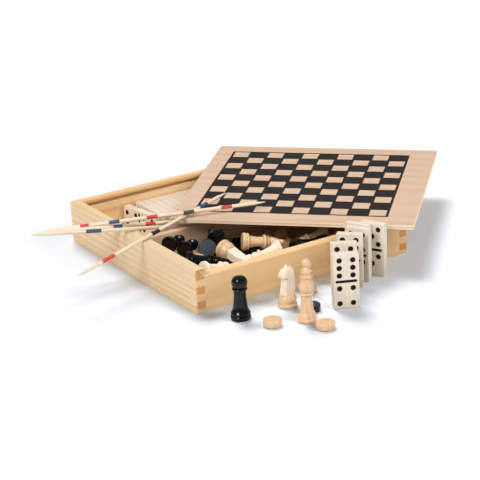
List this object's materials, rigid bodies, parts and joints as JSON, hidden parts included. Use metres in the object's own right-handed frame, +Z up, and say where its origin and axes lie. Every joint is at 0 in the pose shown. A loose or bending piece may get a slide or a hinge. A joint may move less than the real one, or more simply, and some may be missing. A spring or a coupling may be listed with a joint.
{
  "type": "games compendium box",
  "caption": "Finger-jointed pine games box with a sliding lid that is also the board, holding chessmen, draughtsmen, dominoes and pick-up sticks.",
  "frame": {"origin": "centre of the case's underside, on the surface it rests on", "axes": "+Z up; +X along the low front wall, from the left wall to the right wall; +Y from the low front wall to the back wall"},
  "size_m": [0.3563, 0.2917, 0.0501],
  "materials": {
    "pine": "planed, bare",
    "plywood": "sanded, bare",
    "printed_plywood": "sanded, board printed in near-black",
    "natural_lacquered_wood": "clear lacquer, satin",
    "black_lacquered_wood": "black lacquer, gloss",
    "domino_wood": "sanded, pips printed in black",
    "stick_wood": "bare, with painted bands"
  },
  "bodies": {
    "case": {"back_wall": "pine", "black_draughtsmen_stacked": "black_lacquered_wood", "black_knight_lying": "black_lacquered_wood", "black_men_packed": "black_lacquered_wood", "black_pawn_lying_1": "black_lacquered_wood", "black_rook_lying": "black_lacquered_wood", "bottom_panel": "plywood", "domino_filed_first": "domino_wood", "dominoes_filed": "domino_wood", "front_wall": "pine", "left_wall": "pine", "natural_draughtsmen_stacked": "natural_lacquered_wood", "natural_men_packed": "natural_lacquered_wood", "natural_pawn_lying_3": "natural_lacquered_wood", "partition": "pine", "right_wall": "pine", "sticks_in_case": "stick_wood"},
    "black_draughtsman_standing": {"black_draughtsman_standing": "black_lacquered_wood"},
    "black_rook_standing": {"black_rook_standing": "black_lacquered_wood"},
    "domino_standing_1": {"domino_standing_1": "domino_wood"},
    "domino_standing_2": {"domino_standing_2": "domino_wood"},
    "domino_standing_3": {"domino_standing_3": "domino_wood"},
    "domino_standing_4": {"domino_standing_4": "domino_wood"},
    "domino_standing_5": {"domino_standing_5": "domino_wood"},
    "domino_standing_6": {"domino_standing_6": "domino_wood"},
    "natural_draughtsman_standing_1": {"natural_draughtsman_standing_1": "natural_lacquered_wood"},
    "natural_draughtsman_standing_2": {"natural_draughtsman_standing_2": "natural_lacquered_wood"},
    "natural_knight_standing": {"natural_knight_standing": "natural_lacquered_wood"},
    "natural_pawn_standing": {"natural_pawn_standing": "natural_lacquered_wood"},
    "natural_queen_standing": {"natural_queen_standing": "natural_lacquered_wood"},
    "natural_bishop_lying": {"natural_bishop_lying": "natural_lacquered_wood"},
    "natural_knight_lying": {"natural_knight_lying": "natural_lacquered_wood"},
    "natural_pawn_lying_1": {"natural_pawn_lying_1": "natural_lacquered_wood"},
    "natural_pawn_lying_2": {"natural_pawn_lying_2": "natural_lacquered_wood"},
    "black_bishop_lying": {"black_bishop_lying": "black_lacquered_wood"},
    "black_draughtsman_leaning": {"black_draughtsman_leaning": "black_lacquered_wood"},
    "black_pawn_lying_2": {"black_pawn_lying_2": "black_lacquered_wood"},
    "natural_draughtsman_lying": {"natural_draughtsman_lying": "natural_lacquered_wood"},
    "lid": {"lid": "printed_plywood"},
    "stick_upper": {"stick_upper": "stick_wood"},
    "stick_diagonal": {"stick_diagonal": "stick_wood"},
    "stick_sloping_1": {"stick_sloping_1": "stick_wood"},
    "stick_sloping_2": {"stick_sloping_2": "stick_wood"}
  },
  "joints": [
    {"name": "lid_lift", "type": "slide", "parent": "case", "child": "lid", "axis": [0, 0, 1], "range_m": [0, 0.06]},
    {"name": "stick_upper_lift", "type": "slide", "parent": "lid", "child": "stick_upper", "axis": [0, 0, 1], "range_m": [0, 0.06]},
    {"name": "stick_diagonal_draw", "type": "slide", "parent": "lid", "child": "stick_diagonal", "axis": [0.9449, 0.3196, 0.0701], "range_m": [0, 0.15]},
    {"name": "stick_sloping_1_draw", "type": "slide", "parent": "case", "child": "stick_sloping_1", "axis": [-0.9787, -0.0577, 0.1973], "range_m": [0, 0.15]},
    {"name": "stick_sloping_2_draw", "type": "slide", "parent": "case", "child": "stick_sloping_2", "axis": [-0.9877, 0.0075, 0.1563], "range_m": [0, 0.15]},
    {"name": "black_draughtsman_standing_lift", "type": "slide", "parent": "case", "child": "black_draughtsman_standing", "axis": [0, 0, 1], "range_m": [0, 0.06]},
    {"name": "black_rook_standing_lift", "type": "slide", "parent": "case", "child": "black_rook_standing", "axis": [0, 0, 1], "range_m": [0, 0.06]},
    {"name": "domino_standing_1_lift", "type": "slide", "parent": "case", "child": "domino_standing_1", "axis": [0, 0, 1], "range_m": [0, 0.06]},
    {"name": "domino_standing_2_lift", "type": "slide", "parent": "case", "child": "domino_standing_2", "axis": [0, 0, 1], "range_m": [0, 0.06]},
    {"name": "domino_standing_3_lift", "type": "slide", "parent": "case", "child": "domino_standing_3", "axis": [0, 0, 1], "range_m": [0, 0.06]},
    {"name": "domino_standing_4_lift", "type": "slide", "parent": "case", "child": "domino_standing_4", "axis": [0, 0, 1], "range_m": [0, 0.06]},
    {"name": "domino_standing_5_lift", "type": "slide", "parent": "case", "child": "domino_standing_5", "axis": [0, 0, 1], "range_m": [0, 0.06]},
    {"name": "domino_standing_6_lift", "type": "slide", "parent": "case", "child": "domino_standing_6", "axis": [0, 0, 1], "range_m": [0, 0.06]},
    {"name": "natural_draughtsman_standing_1_lift", "type": "slide", "parent": "case", "child": "natural_draughtsman_standing_1", "axis": [0, 0, 1], "range_m": [0, 0.06]},
    {"name": "natural_draughtsman_standing_2_lift", "type": "slide", "parent": "case", "child": "natural_draughtsman_standing_2", "axis": [0, 0, 1], "range_m": [0, 0.06]},
    {"name": "natural_knight_standing_lift", "type": "slide", "parent": "case", "child": "natural_knight_standing", "axis": [0, 0, 1], "range_m": [0, 0.06]},
    {"name": "natural_pawn_standing_lift", "type": "slide", "parent": "case", "child": "natural_pawn_standing", "axis": [0, 0, 1], "range_m": [0, 0.06]},
    {"name": "natural_queen_standing_lift", "type": "slide", "parent": "case", "child": "natural_queen_standing", "axis": [0, 0, 1], "range_m": [0, 0.06]},
    {"name": "natural_bishop_lying_lift", "type": "slide", "parent": "case", "child": "natural_bishop_lying", "axis": [0, 0, 1], "range_m": [0, 0.06]},
    {"name": "natural_knight_lying_lift", "type": "slide", "parent": "case", "child": "natural_knight_lying", "axis": [0, 0, 1], "range_m": [0, 0.06]},
    {"name": "natural_pawn_lying_1_lift", "type": "slide", "parent": "case", "child": "natural_pawn_lying_1", "axis": [0, 0, 1], "range_m": [0, 0.06]},
    {"name": "natural_pawn_lying_2_lift", "type": "slide", "parent": "case", "child": "natural_pawn_lying_2", "axis": [0, 0, 1], "range_m": [0, 0.06]},
    {"name": "black_bishop_lying_lift", "type": "slide", "parent": "case", "child": "black_bishop_lying", "axis": [0, 0, 1], "range_m": [0, 0.06]},
    {"name": "black_draughtsman_leaning_lift", "type": "slide", "parent": "case", "child": "black_draughtsman_leaning", "axis": [0, 0, 1], "range_m": [0, 0.06]},
    {"name": "black_pawn_lying_2_lift", "type": "slide", "parent": "case", "child": "black_pawn_lying_2", "axis": [0, 0, 1], "range_m": [0, 0.06]},
    {"name": "natural_draughtsman_lying_lift", "type": "slide", "parent": "case", "child": "natural_draughtsman_lying", "axis": [0, 0, 1], "range_m": [0, 0.06]}
  ]
}
